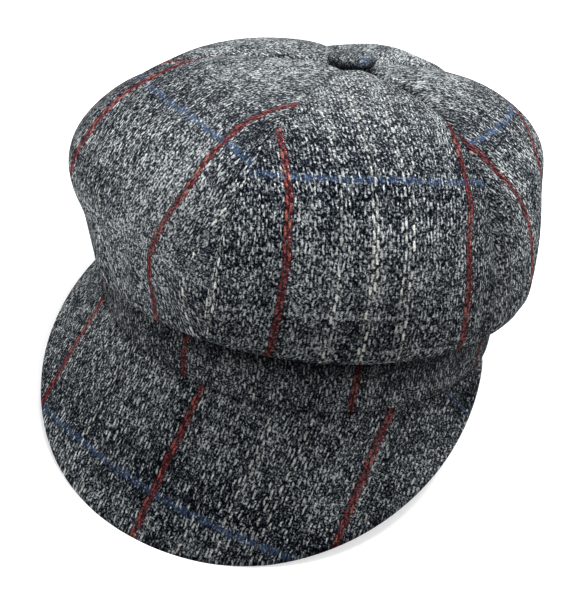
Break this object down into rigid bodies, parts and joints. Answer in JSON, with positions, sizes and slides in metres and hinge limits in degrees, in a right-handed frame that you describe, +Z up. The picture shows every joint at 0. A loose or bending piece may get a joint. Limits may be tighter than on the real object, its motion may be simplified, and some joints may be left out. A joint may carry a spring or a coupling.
{
  "type": "baker boy cap",
  "caption": "Soft baker boy cap of grey tweed with a red and blue overcheck: full crown panels sewn up to a covered button, an upright band and a stiff rounded peak.",
  "frame": {"origin": "on the table, below the middle of the whole cap", "axes": "+Z up, -Y the way the peak points, +X towards the wearer's left"},
  "size_m": [0.2232, 0.2556, 0.157],
  "materials": {
    "tweed": "coarse mottled grey wool tweed with thin red and blue overcheck lines"
  },
  "bodies": {
    "root": {"crown_panel_1": "tweed", "crown_panel_2": "tweed", "crown_panel_3": "tweed", "crown_panel_4": "tweed", "crown_panel_5": "tweed", "button": "tweed", "band": "tweed", "peak": "tweed"}
  },
  "joints": []
}
